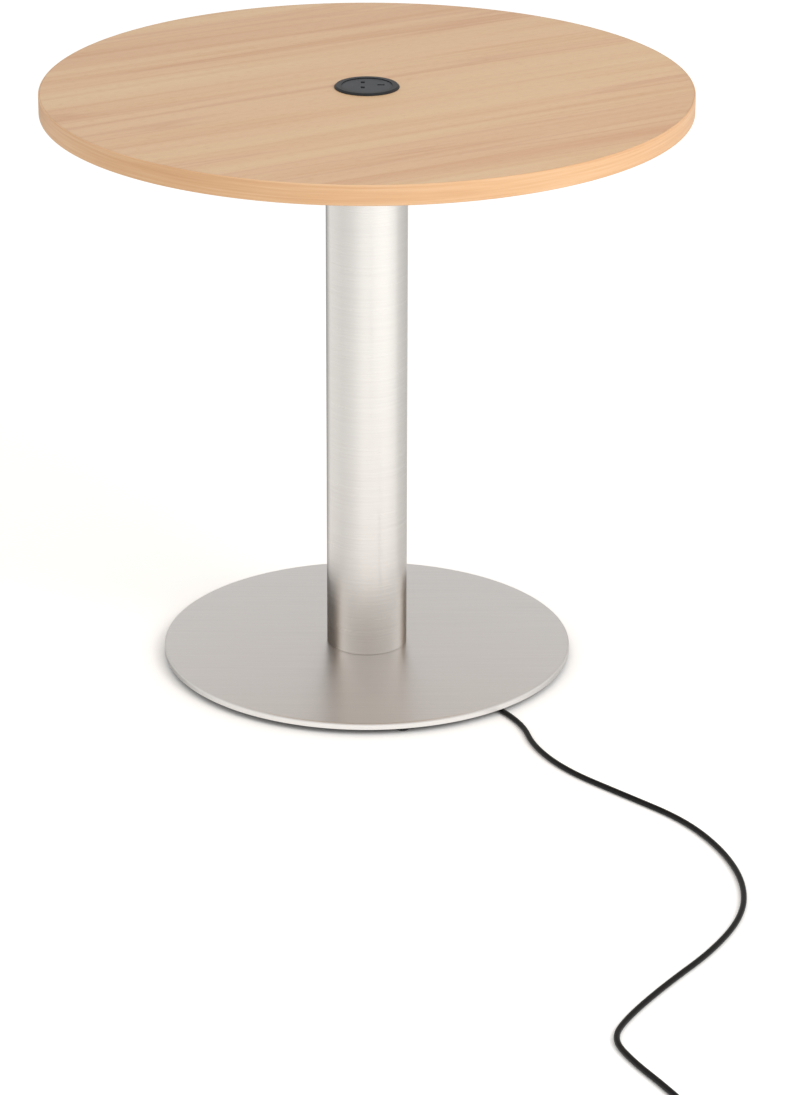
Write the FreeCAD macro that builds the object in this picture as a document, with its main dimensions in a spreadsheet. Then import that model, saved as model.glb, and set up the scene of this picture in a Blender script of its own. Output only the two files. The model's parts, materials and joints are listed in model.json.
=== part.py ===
import FreeCAD, Part
import math
import os
import re
import Sketcher

# Round pedestal table with a power socket in its top: a laminated board on a steel column,
# a heavy round base on levelling glides, and a mains lead that runs down inside the column.
# Millimetres. The floor is Z 0, the column's axis is the Z axis, and the front is -Y.

SIZES = {
    # Table top
    "table_height": 750,
    "top_diameter": 800,
    "top_thickness": 25,
    "edge_band": 2,
    "edge_round": 1.5,
    "hole_margin": 2,
    # Steel plate that carries the top, and its screws
    "plate_side": 300,
    "plate_thickness": 5,
    "plate_corner": 24,
    "plate_margin": 1,
    "screw_inset": 20,
    "screw_count": 8,
    "screw_diameter": 4,
    "screw_head": 9,
    "screw_head_height": 2.8,
    "screw_reach": 15,
    "screw_recess": 4.4,
    "screw_recess_slot": 1.2,
    "screw_recess_depth": 1.6,
    # Column tube and the two rings welded inside it
    "column_diameter": 102,
    "column_wall": 2,
    "head_ring_thickness": 10,
    "head_bolt_inset": 4,
    "head_bolt_diameter": 5,
    "head_bolt_head": 9.4,
    "head_bolt_key": 3,
    "head_bolt_length": 14,
    "foot_ring_thickness": 12,
    "foot_ring_width": 19,
    "foot_bolt_inset": 10,
    "foot_bolt_diameter": 8,
    "foot_bolt_head": 16,
    "foot_bolt_length": 18,
    "foot_bolt_key": 5,
    "key_depth": 0.6,
    "bolt_count": 4,
    # Base: a heavy disc under a pressed steel cover
    "base_diameter": 520,
    "base_thickness": 8,
    "cover_sheet": 1.2,
    "cover_round": 1,
    "cable_hole": 44,
    "grommet_bore": 34,
    "grommet_flange": 3,
    "grommet_lip": 0.5,
    "grommet_height": 2,
    # Levelling glides
    "glide_count": 5,
    "glide_inset": 17,
    "glide_angle": -79.6,
    "glide_diameter": 20,
    "glide_height": 7.5,
    "glide_chamfer": 1.5,
    "stud_diameter": 8,
    "stud_reach": 6,
    "stud_root": 4.5,
    # Power module
    "flange_lip": 7,
    "flange_height": 3,
    "flange_rim": 0.9,
    "flange_bevel": 2.2,
    "housing_diameter": 66,
    "housing_wall": 2,
    "housing_depth": 52,
    "face_thickness": 5,
    "face_recess": 1,
    "ledge_width": 2.5,
    "ledge_height": 3,
    "socket_x": 6,
    "socket_y": 3,
    "pin_pitch": 22.2,
    "slot_width": 4.8,
    "slot_length": 7.2,
    "earth_slot_length": 8.8,
    "shutter_travel": 6.4,
    "shutter_gap": 0.2,
    "shutter_half_width": 16,
    "shutter_back": 3.4,
    "shutter_nose": 1.9,
    "shutter_ramp": 5,
    "shutter_lip": 0.6,
    "spring_sheet": 0.4,
    "spring_spread": 9,
    "spring_heel": 2.9,
    "carrier_height": 22,
    "contact_height": 16,
    "contact_sheet": 0.8,
    "contact_width": 6,
    "earth_contact_width": 8,
    "pin_thickness": 4,
    "cover_plate": 3,
    "post_diameter": 7,
    "post_inset": 11,
    "post_count": 3,
    "post_screw": 3,
    "post_screw_head": 5.6,
    "post_screw_head_height": 2,
    "post_screw_reach": 16,
    "clip_sheet": 0.5,
    "clip_width": 7,
    "clip_length": 18,
    "clip_bulge": 1.3,
    "gland_flange": 18,
    "gland_flange_height": 3,
    "gland_neck": 12,
    "gland_nose": 9.2,
    "gland_length": 23,
    # Mains lead, its coil and its plug
    "lead_diameter": 6.8,
    "lead_bend": 24,
    "lead_offset": 6,
    "lead_tail": 8,
    "lead_exit_run": 32,
    "coil_lead_in": 50,
    "coil_radius": 44.4,
    "coil_pitch": 7.6,
    "coil_layer": 7.5,
    "coil_turns": 4.3,
    "tie_sheet": 0.7,
    "tie_width": 10,
    "tie_slack": 0.5,
    "tie_round": 2,
    "plug_length": 46,
    "plug_half_width": 24,
    "plug_height": 20,
    "plug_neck": 9,
    "plug_far_end": 15,
    "plug_round": 2.5,
    "plug_pin_line": 17,
    "plug_pin_reach": 17.7,
    "plug_earth_reach": 22.7,
    "plug_pin_width": 6.35,
    "plug_earth_width": 7.9,
    "fuse_lid_length": 24,
    "fuse_lid_width": 7.6,
    "fuse_lid_thickness": 1.5,
    "sleeve_length": 30,
    "sleeve_root": 13,
    "sleeve_tip": 9,
    # Clearances
    "thread_clearance": 0.05,
    "running_clearance": 0.06,
    "hole_clearance": 0.4,
    "pocket_clearance": 0.3,
    "fit_clearance": 0.1,
}

# Route of the free lead on the floor, from the base's rim to the coil: X and Y of each bend.
FREE_ROUTE = [
    (165, -190), (186, -226), (203, -298), (240, -364), (306, -430), (374, -503),
    (414, -586), (430, -668), (421, -745), (379, -826), (321, -907), (276, -982),
    (260, -1026), (278, -1072), (306, -1121),
]
COIL_CENTRE = (304, -1239)
COIL_START_ANGLE = 17.4
COIL_TIE_ANGLE = 100

doc = FreeCAD.newDocument("PedestalTable")
sheet = doc.addObject("Spreadsheet::Sheet", "Sizes")
for row, (size_name, size_value) in enumerate(SIZES.items(), start=1):
    sheet.set("A%d" % row, size_name)
    sheet.set("B%d" % row, str(size_value))
    sheet.setAlias("B%d" % row, size_name)
doc.recompute()

# Levels and radii worked out from the driving sizes, as expressions of the sheet's cells.
TOP_UNDERSIDE = "(table_height - top_thickness)"
PLATE_UNDERSIDE = "(table_height - top_thickness - plate_thickness)"
BASE_TOP = "(glide_height + base_thickness)"
WEIGHT_TOP = "(glide_height + base_thickness - cover_sheet)"
COLUMN_BORE = "(column_diameter / 2 - column_wall)"
SCREW_CIRCLE = "(plate_side - 2 * screw_inset)"
HEAD_BOLT_CIRCLE = "(column_diameter - 2 * column_wall - 2 * head_bolt_inset)"
FOOT_BOLT_CIRCLE = "(column_diameter - 2 * column_wall - 2 * foot_bolt_inset)"
FOOT_RING_HOLE = "(column_diameter / 2 - column_wall - foot_ring_width)"
GLIDE_CIRCLE = "(base_diameter - 2 * glide_inset)"
BOARD_HOLE = "(housing_diameter / 2 + hole_margin)"
PLATE_HOLE = "(housing_diameter / 2 + plate_margin)"
FLANGE_RADIUS = "(housing_diameter / 2 + flange_lip)"
POST_CIRCLE = "(housing_diameter - 2 * housing_wall - 2 * post_inset)"
FACE_UNDERSIDE = "(table_height + flange_height - face_recess - face_thickness)"
LEDGE_UNDERSIDE = "(table_height + flange_height - face_recess - face_thickness - ledge_height)"
CARRIER_UNDERSIDE = (
    "(table_height + flange_height - face_recess - face_thickness - ledge_height - carrier_height)"
)
HOUSING_BOTTOM = "(table_height - housing_depth)"
HOUSING_BORE = "(housing_diameter / 2 - housing_wall)"
LEAD_RADIUS = "(lead_diameter / 2)"
LEAD_BORE = "(lead_diameter / 2 + thread_clearance)"
HALF_PITCH = "(pin_pitch / 2)"
COIL_LOW = "(lead_diameter / 2 + tie_sheet)"

nodes = []


def bind(expression):
    """Write the sheet's name before each size in an expression."""
    return re.sub(r"[A-Za-z_]+", lambda word: "Sizes." + word.group(0), str(expression))


def value(expression):
    """Present value of an expression of the sheet's sizes."""
    return float(sheet.evalExpression(bind(expression)))


def new_body(label):
    """Start one sub-part, whose label names its file."""
    body = doc.addObject("PartDesign::Body", label)
    body.Label = label
    nodes.append(body)
    return body


def origin_feature(body, role):
    """One of the body's own origin planes or axes."""
    return [feature for feature in body.Origin.OriginFeatures if feature.Role == role][0]


def new_sketch(body, name, plane, offset=None):
    """Sketch on one of the body's origin planes, moved along the plane's normal if asked."""
    sketch = body.newObject("Sketcher::SketchObject", name)
    sketch.AttachmentSupport = (origin_feature(body, plane), [""])
    sketch.MapMode = "FlatFace"
    if offset is not None:
        sketch.setExpression("AttachmentOffset.Base.z", bind(offset))
    return sketch


def pin_point(sketch, element, end, point):
    """Hold one end of a sketch element at a place given by two expressions."""
    for kind, expression in zip(("DistanceX", "DistanceY"), point):
        index = sketch.addConstraint(
            Sketcher.Constraint(kind, -1, 1, element, end, value(expression)))
        sketch.setExpression("Constraints[%d]" % index, bind(expression))


def flat_point(point):
    """A pair of expressions as a vector in the sketch's plane."""
    return FreeCAD.Vector(value(point[0]), value(point[1]), 0)


def add_loop(sketch, points):
    """Closed outline of straight lines through the given points."""
    first = sketch.GeometryCount
    for start, end in zip(points, points[1:] + points[:1]):
        sketch.addGeometry(Part.LineSegment(flat_point(start), flat_point(end)), False)
    for index, point in enumerate(points):
        following = (index + 1) % len(points)
        sketch.addConstraint(
            Sketcher.Constraint("Coincident", first + index, 2, first + following, 1))
        pin_point(sketch, first + index, 1, point)


def add_circle(sketch, centre, radius):
    """Circle with its centre and radius held by expressions."""
    circle = Part.Circle(flat_point(centre), FreeCAD.Vector(0, 0, 1), value(radius))
    element = sketch.addGeometry(circle, False)
    pin_point(sketch, element, 3, centre)
    index = sketch.addConstraint(Sketcher.Constraint("Radius", element, value(radius)))
    sketch.setExpression("Constraints[%d]" % index, bind(radius))


def rectangle(x_centre, y_centre, x_size, y_size):
    """Corners of a rectangle about a centre, as expressions."""
    low_x = f"{x_centre} - ({x_size}) / 2"
    high_x = f"{x_centre} + ({x_size}) / 2"
    low_y = f"{y_centre} - ({y_size}) / 2"
    high_y = f"{y_centre} + ({y_size}) / 2"
    return [(low_x, low_y), (high_x, low_y), (high_x, high_y), (low_x, high_y)]


def pad(body, sketch, name, length, midplane=False):
    """Pad a sketch by an expression, to both sides of its plane if asked."""
    feature = body.newObject("PartDesign::Pad", name)
    feature.Profile = sketch
    feature.setExpression("Length", bind(length))
    feature.Midplane = midplane
    body.Tip = feature
    return feature


def pocket(body, sketch, name, depth):
    """Cut a sketch downwards from its plane."""
    feature = body.newObject("PartDesign::Pocket", name)
    feature.Profile = sketch
    feature.setExpression("Length", bind(depth))
    body.Tip = feature
    return feature


def turn(body, kind, name, points, axis=(("0", "0"), ("0", "table_height"))):
    """Turn a profile in the XZ plane about a line, adding material or cutting it."""
    sketch = new_sketch(body, name + "_profile", "XZ_Plane")
    add_loop(sketch, points)
    line = sketch.addGeometry(Part.LineSegment(flat_point(axis[0]), flat_point(axis[1])), True)
    pin_point(sketch, line, 1, axis[0])
    pin_point(sketch, line, 2, axis[1])
    feature = body.newObject("PartDesign::" + kind, name)
    feature.Profile = sketch
    feature.ReferenceAxis = (sketch, ["Axis0"])
    feature.Angle = 360
    body.Tip = feature
    return feature


def upright_at(radius):
    """Vertical line at a radius from the column's axis, as a turning axis."""
    return ((radius, "0"), (radius, "table_height"))


def around(body, features, name, count):
    """Repeat features evenly around the column's axis."""
    doc.recompute()
    pattern = body.newObject("PartDesign::PolarPattern", name)
    pattern.Originals = features
    pattern.Axis = (origin_feature(body, "Z_Axis"), [""])
    pattern.Angle = 360
    pattern.setExpression("Occurrences", bind(count))
    body.Tip = pattern
    return pattern


def edges_where(feature, test):
    """Names of a feature's edges that pass a test."""
    doc.recompute()
    return ["Edge%d" % index for index, edge in enumerate(feature.Shape.Edges, start=1) if test(edge)]


def round_edges(body, feature, name, radius, test):
    """Fillet the edges of a feature that pass a test."""
    fillet = body.newObject("PartDesign::Fillet", name)
    fillet.Base = (feature, edges_where(feature, test))
    fillet.setExpression("Radius", bind(radius))
    body.Tip = fillet
    return fillet


def is_upright(edge):
    """True for a straight vertical edge."""
    ends = [vertex.Point for vertex in edge.Vertexes]
    return len(ends) == 2 and (ends[0] - ends[1]).cross(FreeCAD.Vector(0, 0, 1)).Length < 1e-6


def turn_about_column(body, angle):
    """Set a body round the column's axis by an angle in degrees."""
    body.Placement = FreeCAD.Placement(FreeCAD.Vector(), FreeCAD.Rotation(FreeCAD.Vector(0, 0, 1), 1))
    body.setExpression("Placement.Rotation.Angle", bind(angle))


def box_profile(inner, outer, low, high):
    """Rectangular ring profile between two radii and two levels."""
    return [(inner, low), (outer, low), (outer, high), (inner, high)]


def screw_shape(circle, level, head, shank, head_height, length, slack):
    """Half profile of a screw with a flat head below its seat, standing up from the level."""
    centre = f"{circle} / 2"
    return [
        (centre, f"{level} - {head_height}"),
        (f"{centre} + {head} / 2", f"{level} - {head_height}"),
        (f"{centre} + {head} / 2", level),
        (f"{centre} + {shank} / 2 + {slack}", level),
        (f"{centre} + {shank} / 2 + {slack}", f"{level} + {length}"),
        (centre, f"{level} + {length}"),
    ]


def hole_shape(circle, diameter, slack, low, high):
    """Half profile of a straight hole on a bolt circle."""
    centre = f"{circle} / 2"
    edge = f"{centre} + {diameter} / 2 + {slack}"
    return [(centre, low), (edge, low), (edge, high), (centre, high)]


def countersunk_shape(circle, face, head, shank, slack, length, upwards):
    """Half profile of a countersunk screw whose head is flush with a face."""
    sign = "+" if upwards else "-"
    centre = f"{circle} / 2"
    edge = f"{centre} + {shank} / 2 + {slack}"
    depth = f"({head} - {shank} - 2 * {slack}) / 2"
    return [
        (centre, face),
        (f"{centre} + {head} / 2", face),
        (edge, f"{face} {sign} {depth}"),
        (edge, f"{face} {sign} {length}"),
        (centre, f"{face} {sign} {length}"),
    ]


def hexagon(centre, across_flats):
    """Corners of a hexagon about a point of the X axis."""
    reach = f"({across_flats}) / {math.sqrt(3)}"
    left = f"{centre} - ({across_flats}) / 2"
    right = f"{centre} + ({across_flats}) / 2"
    return [
        (left, f"-({reach}) / 2"), (centre, f"-({reach})"), (right, f"-({reach}) / 2"),
        (right, f"({reach}) / 2"), (centre, reach), (left, f"({reach}) / 2"),
    ]


def cross(centre, reach, slot):
    """Corners of a plus-shaped outline about a point of the X axis."""
    arm = f"({reach}) / 2"
    flank = f"({slot}) / 2"
    corners = [
        (f"-{arm}", f"-{flank}"), (f"-{flank}", f"-{flank}"), (f"-{flank}", f"-{arm}"),
        (flank, f"-{arm}"), (flank, f"-{flank}"), (arm, f"-{flank}"),
        (arm, flank), (flank, flank), (flank, arm),
        (f"-{flank}", arm), (f"-{flank}", flank), (f"-{arm}", flank),
    ]
    return [(f"{centre} + ({across})", along) for across, along in corners]


def drive(body, name, outline, face, depth, upwards):
    """Cut the recess for a driver into a screw's head, up or down from its face."""
    sketch = new_sketch(body, name + "_outline", "XY_Plane", face)
    add_loop(sketch, outline)
    recess = pocket(body, sketch, name, depth)
    recess.Reversed = upwards
    return recess


# Table top
def make_table_top():
    body = new_body("table_top")
    board_radius = "top_diameter / 2 - edge_band"
    profile = box_profile(BOARD_HOLE, board_radius, TOP_UNDERSIDE, "table_height")
    turn(body, "Revolution", "board", profile)
    pilot = hole_shape(SCREW_CIRCLE, "screw_diameter", "thread_clearance",
                       TOP_UNDERSIDE, f"{TOP_UNDERSIDE} + screw_reach + fit_clearance")
    hole = turn(body, "Groove", "pilot_hole", pilot, upright_at(f"{SCREW_CIRCLE} / 2"))
    around(body, [hole], "pilot_holes", "screw_count")


def make_edge_band():
    body = new_body("edge_band")
    profile = box_profile("top_diameter / 2 - edge_band", "top_diameter / 2", TOP_UNDERSIDE, "table_height")
    band = turn(body, "Revolution", "band", profile)
    outer = value("top_diameter / 2 - edge_band / 2")
    round_edges(body, band, "rounded_edges", "edge_round",
                lambda edge: edge.BoundBox.XMax > outer and edge.BoundBox.ZLength < 1e-6)


def make_top_plate():
    body = new_body("top_plate")
    sketch = new_sketch(body, "outline", "XY_Plane", PLATE_UNDERSIDE)
    add_loop(sketch, rectangle("0", "0", "plate_side", "plate_side"))
    plate = pad(body, sketch, "plate", "plate_thickness")
    round_edges(body, plate, "corners", "plate_corner", is_upright)
    turn(body, "Groove", "module_opening",
         box_profile("0", PLATE_HOLE, PLATE_UNDERSIDE, TOP_UNDERSIDE))
    hole = turn(body, "Groove", "screw_hole",
                hole_shape(SCREW_CIRCLE, "screw_diameter", "hole_clearance", PLATE_UNDERSIDE, TOP_UNDERSIDE),
                upright_at(f"{SCREW_CIRCLE} / 2"))
    around(body, [hole], "screw_holes", "screw_count")
    seat = countersunk_shape(HEAD_BOLT_CIRCLE, TOP_UNDERSIDE, "head_bolt_head", "head_bolt_diameter",
                             "thread_clearance", "plate_thickness", False)
    hole = turn(body, "Groove", "bolt_seat", seat, upright_at(f"{HEAD_BOLT_CIRCLE} / 2"))
    around(body, [hole], "bolt_seats", "bolt_count")


def make_top_plate_screws():
    body = new_body("top_plate_screws")
    shape = screw_shape(SCREW_CIRCLE, PLATE_UNDERSIDE, "screw_head", "screw_diameter",
                        "screw_head_height", "(plate_thickness + screw_reach)", "0")
    screw = turn(body, "Revolution", "screw", shape, upright_at(f"{SCREW_CIRCLE} / 2"))
    outline = cross(f"{SCREW_CIRCLE} / 2", "screw_recess", "screw_recess_slot")
    head_face = f"{PLATE_UNDERSIDE} - screw_head_height"
    recess = drive(body, "recess", outline, head_face, "screw_recess_depth", True)
    around(body, [screw, recess], "screws", "screw_count")


# Column
def make_column_tube():
    body = new_body("column_tube")
    profile = box_profile(COLUMN_BORE, "column_diameter / 2", BASE_TOP, PLATE_UNDERSIDE)
    turn(body, "Revolution", "tube", profile)


def make_column_head_ring():
    body = new_body("column_head_ring")
    low = f"{PLATE_UNDERSIDE} - head_ring_thickness"
    turn(body, "Revolution", "ring", box_profile(PLATE_HOLE, COLUMN_BORE, low, PLATE_UNDERSIDE))
    tapped = hole_shape(HEAD_BOLT_CIRCLE, "head_bolt_diameter", "thread_clearance", low, PLATE_UNDERSIDE)
    hole = turn(body, "Groove", "tapped_hole", tapped, upright_at(f"{HEAD_BOLT_CIRCLE} / 2"))
    around(body, [hole], "tapped_holes", "bolt_count")


def make_head_ring_bolts():
    body = new_body("head_ring_bolts")
    shape = countersunk_shape(HEAD_BOLT_CIRCLE, TOP_UNDERSIDE, "head_bolt_head", "head_bolt_diameter",
                              "0", "head_bolt_length", False)
    bolt = turn(body, "Revolution", "bolt", shape, upright_at(f"{HEAD_BOLT_CIRCLE} / 2"))
    outline = hexagon(f"{HEAD_BOLT_CIRCLE} / 2", "head_bolt_key")
    recess = drive(body, "key_socket", outline, TOP_UNDERSIDE, "key_depth * head_bolt_key", False)
    around(body, [bolt, recess], "bolts", "bolt_count")


def make_column_foot_ring():
    body = new_body("column_foot_ring")
    high = f"{BASE_TOP} + foot_ring_thickness"
    turn(body, "Revolution", "ring", box_profile(FOOT_RING_HOLE, COLUMN_BORE, BASE_TOP, high))
    tapped = hole_shape(FOOT_BOLT_CIRCLE, "foot_bolt_diameter", "thread_clearance", BASE_TOP, high)
    hole = turn(body, "Groove", "tapped_hole", tapped, upright_at(f"{FOOT_BOLT_CIRCLE} / 2"))
    around(body, [hole], "tapped_holes", "bolt_count")
    turn_about_column(body, "glide_angle")


# Base
def make_base_weight():
    body = new_body("base_weight")
    profile = box_profile("cable_hole / 2", "base_diameter / 2 - cover_sheet", "glide_height", WEIGHT_TOP)
    turn(body, "Revolution", "disc", profile)
    seat = countersunk_shape(FOOT_BOLT_CIRCLE, "glide_height", "foot_bolt_head", "foot_bolt_diameter",
                             "thread_clearance", "base_thickness", True)
    hole = turn(body, "Groove", "bolt_seat", seat, upright_at(f"{FOOT_BOLT_CIRCLE} / 2"))
    around(body, [hole], "bolt_seats", "bolt_count")
    thread = hole_shape(GLIDE_CIRCLE, "stud_diameter", "running_clearance", "glide_height", BASE_TOP)
    hole = turn(body, "Groove", "glide_thread", thread, upright_at(f"{GLIDE_CIRCLE} / 2"))
    around(body, [hole], "glide_threads", "glide_count")
    turn_about_column(body, "glide_angle")


def make_base_cover():
    body = new_body("base_cover")
    rim = "base_diameter / 2"
    profile = [
        ("cable_hole / 2", WEIGHT_TOP), (f"{rim} - cover_sheet", WEIGHT_TOP),
        (f"{rim} - cover_sheet", "glide_height"), (rim, "glide_height"),
        (rim, BASE_TOP), ("cable_hole / 2", BASE_TOP),
    ]
    sheet_steel = turn(body, "Revolution", "pressing", profile)
    outer = value("base_diameter / 2 - cover_sheet / 2")
    top_level = value(BASE_TOP)
    round_edges(body, sheet_steel, "rounded_edge", "cover_round",
                lambda edge: edge.BoundBox.XMax > outer and abs(edge.BoundBox.ZMin - top_level) < 1e-6)
    clear = hole_shape(FOOT_BOLT_CIRCLE, "foot_bolt_diameter", "thread_clearance", WEIGHT_TOP, BASE_TOP)
    hole = turn(body, "Groove", "bolt_hole", clear, upright_at(f"{FOOT_BOLT_CIRCLE} / 2"))
    around(body, [hole], "bolt_holes", "bolt_count")
    turn_about_column(body, "glide_angle")


def make_base_bolts():
    body = new_body("base_bolts")
    shape = countersunk_shape(FOOT_BOLT_CIRCLE, "glide_height", "foot_bolt_head", "foot_bolt_diameter",
                              "0", "foot_bolt_length", True)
    bolt = turn(body, "Revolution", "bolt", shape, upright_at(f"{FOOT_BOLT_CIRCLE} / 2"))
    outline = hexagon(f"{FOOT_BOLT_CIRCLE} / 2", "foot_bolt_key")
    recess = drive(body, "key_socket", outline, "glide_height", "key_depth * foot_bolt_key", True)
    around(body, [bolt, recess], "bolts", "bolt_count")
    turn_about_column(body, "glide_angle")


def make_base_grommet():
    body = new_body("base_grommet")
    neck = "cable_hole / 2"
    bore = "grommet_bore / 2"
    turn(body, "Revolution", "grommet", [
        (bore, "glide_height - grommet_lip"), (f"{neck} + 2 * grommet_lip", "glide_height - grommet_lip"),
        (f"{neck} + 2 * grommet_lip", "glide_height"), (neck, "glide_height"),
        (neck, BASE_TOP), (f"{neck} + grommet_flange", BASE_TOP),
        (f"{neck} + grommet_flange", f"{BASE_TOP} + grommet_height"), (bore, f"{BASE_TOP} + grommet_height"),
    ])


def make_glide(number):
    angle = f"glide_angle + {number - 1} * 360 / glide_count"
    centre = f"{GLIDE_CIRCLE} / 2"
    foot = f"{centre} + glide_diameter / 2"
    stud_edge = f"{centre} + stud_diameter / 2"
    root = "glide_height - stud_root"
    body = new_body("glide_pad_%d" % number)
    turn(body, "Revolution", "pad", [
        (centre, "0"), (f"{foot} - glide_chamfer", "0"), (foot, "glide_chamfer"),
        (foot, "glide_height"), (stud_edge, "glide_height"), (stud_edge, root), (centre, root),
    ], upright_at(centre))
    turn_about_column(body, angle)
    body = new_body("glide_stud_%d" % number)
    shape = box_profile(centre, stud_edge, root, "glide_height + stud_reach")
    turn(body, "Revolution", "stud", shape, upright_at(centre))
    turn_about_column(body, angle)


# Power module
def make_module_housing():
    body = new_body("module_housing")
    outer = "housing_diameter / 2"
    flange_top = "table_height + flange_height"
    turn(body, "Revolution", "shell", [
        (HOUSING_BORE, HOUSING_BOTTOM), (outer, HOUSING_BOTTOM), (outer, "table_height"),
        (FLANGE_RADIUS, "table_height"), (FLANGE_RADIUS, "table_height + flange_rim"),
        (f"{FLANGE_RADIUS} - flange_bevel", flange_top), (HOUSING_BORE, flange_top),
        (HOUSING_BORE, FACE_UNDERSIDE), (f"{HOUSING_BORE} - ledge_width", FACE_UNDERSIDE),
        (f"{HOUSING_BORE} - ledge_width", LEDGE_UNDERSIDE), (HOUSING_BORE, LEDGE_UNDERSIDE),
    ])


def pin_places():
    """Centre of each of the socket's three slots, and its size along X and Y."""
    return {
        "live": (f"socket_x - {HALF_PITCH}", f"socket_y - {HALF_PITCH}", "slot_width", "slot_length"),
        "neutral": (f"socket_x - {HALF_PITCH}", f"socket_y + {HALF_PITCH}", "slot_width", "slot_length"),
        "earth": (f"socket_x + {HALF_PITCH}", "socket_y", "earth_slot_length", "slot_width"),
    }


def make_socket_face():
    body = new_body("socket_face")
    sketch = new_sketch(body, "outline", "XY_Plane", FACE_UNDERSIDE)
    add_circle(sketch, ("0", "0"), f"{HOUSING_BORE} - fit_clearance")
    for x_place, y_place, x_size, y_size in pin_places().values():
        add_loop(sketch, rectangle(x_place, y_place, x_size, y_size))
    pad(body, sketch, "face", "face_thickness")


def make_socket_shutter():
    body = new_body("socket_shutter")
    low = f"{LEDGE_UNDERSIDE} + shutter_gap"
    high = f"{FACE_UNDERSIDE} - shutter_gap"
    back = f"socket_x - {HALF_PITCH} - shutter_back"
    nose = f"socket_x + {HALF_PITCH} + shutter_nose"
    sketch = new_sketch(body, "side", "XZ_Plane", "-socket_y")
    add_loop(sketch, [
        (back, low), (nose, low), (nose, f"{low} + shutter_lip"),
        (f"{nose} - shutter_ramp", high), (back, high),
    ])
    pad(body, sketch, "slide", "2 * shutter_half_width", midplane=True)
    sketch = new_sketch(body, "windows_outline", "XY_Plane", FACE_UNDERSIDE)
    for name in ("live", "neutral"):
        x_place, y_place, x_size, y_size = pin_places()[name]
        add_loop(sketch, rectangle(f"{x_place} + shutter_travel", y_place,
                                   f"{x_size} + 2 * pocket_clearance", f"{y_size} + 2 * pocket_clearance"))
    pocket(body, sketch, "windows", "ledge_height + shutter_gap")


def make_shutter_spring():
    body = new_body("shutter_spring")
    tip = f"socket_x - {HALF_PITCH} - shutter_back - fit_clearance"
    heel = f"spring_heel + ledge_width - {HOUSING_BORE}"
    sketch = new_sketch(body, "bow", "XY_Plane", f"{LEDGE_UNDERSIDE} + shutter_gap")
    add_loop(sketch, [
        (heel, "socket_y - spring_spread"), (f"{heel} + 2 * spring_sheet", "socket_y - spring_spread"),
        (tip, "socket_y - spring_sheet"), (tip, "socket_y + spring_sheet"),
        (f"{heel} + 2 * spring_sheet", "socket_y + spring_spread"), (heel, "socket_y + spring_spread"),
        (f"{tip} - 2 * spring_sheet", "socket_y"),
    ])
    pad(body, sketch, "strip", "ledge_height - 2 * shutter_gap")


def make_contact_carrier():
    body = new_body("contact_carrier")
    turn(body, "Revolution", "block",
         box_profile("0", f"{HOUSING_BORE} - fit_clearance", CARRIER_UNDERSIDE, LEDGE_UNDERSIDE))
    sketch = new_sketch(body, "pockets_outline", "XY_Plane", LEDGE_UNDERSIDE)
    clip = "pin_thickness + 2 * contact_sheet + 2 * pocket_clearance"
    for name, (x_place, y_place, _, _) in pin_places().items():
        if name == "earth":
            add_loop(sketch, rectangle(x_place, y_place, "earth_contact_width + 2 * pocket_clearance", clip))
        else:
            add_loop(sketch, rectangle(x_place, y_place, clip, "contact_width + 2 * pocket_clearance"))
    pocket(body, sketch, "contact_pockets", "contact_height + pocket_clearance")
    centre = f"{POST_CIRCLE} / 2"
    post = turn(body, "Revolution", "post", [
        (f"{centre} + post_screw / 2 + thread_clearance", HOUSING_BOTTOM),
        (f"{centre} + post_diameter / 2", HOUSING_BOTTOM),
        (f"{centre} + post_diameter / 2", CARRIER_UNDERSIDE),
        (f"{centre} + post_screw / 2 + thread_clearance", CARRIER_UNDERSIDE),
    ], upright_at(centre))
    around(body, [post], "posts", "post_count")


def make_contact(name):
    body = new_body(name + "_contact")
    x_place, y_place, _, _ = pin_places()[name]
    inner = "pin_thickness / 2"
    outer = "pin_thickness / 2 + contact_sheet"
    low = f"{LEDGE_UNDERSIDE} - contact_height - pocket_clearance"
    high = f"{LEDGE_UNDERSIDE} - pocket_clearance"
    middle, plane, offset, width = x_place, "XZ_Plane", f"-({y_place})", "contact_width"
    if name == "earth":
        middle, plane, offset, width = y_place, "YZ_Plane", x_place, "earth_contact_width"
    sketch = new_sketch(body, "clip", plane, offset)
    add_loop(sketch, [
        (f"{middle} - ({outer})", low), (f"{middle} + {outer}", low),
        (f"{middle} + {outer}", high), (f"{middle} + {inner}", high),
        (f"{middle} + {inner}", f"{low} + contact_sheet"), (f"{middle} - ({inner})", f"{low} + contact_sheet"),
        (f"{middle} - ({inner})", high), (f"{middle} - ({outer})", high),
    ])
    pad(body, sketch, "strip", width, midplane=True)


def make_module_rear_cover():
    body = new_body("module_rear_cover")
    spigot = f"{HOUSING_BORE} - fit_clearance"
    low = f"{HOUSING_BOTTOM} - cover_plate"
    turn(body, "Revolution", "cup", [
        ("gland_neck / 2", low), ("housing_diameter / 2", low), ("housing_diameter / 2", HOUSING_BOTTOM),
        (spigot, HOUSING_BOTTOM), (spigot, CARRIER_UNDERSIDE),
        (f"{spigot} - housing_wall", CARRIER_UNDERSIDE), (f"{spigot} - housing_wall", HOUSING_BOTTOM),
        ("gland_neck / 2", HOUSING_BOTTOM),
    ])
    clear = hole_shape(POST_CIRCLE, "post_screw", "thread_clearance", low, HOUSING_BOTTOM)
    hole = turn(body, "Groove", "screw_hole", clear, upright_at(f"{POST_CIRCLE} / 2"))
    around(body, [hole], "screw_holes", "post_count")


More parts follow.
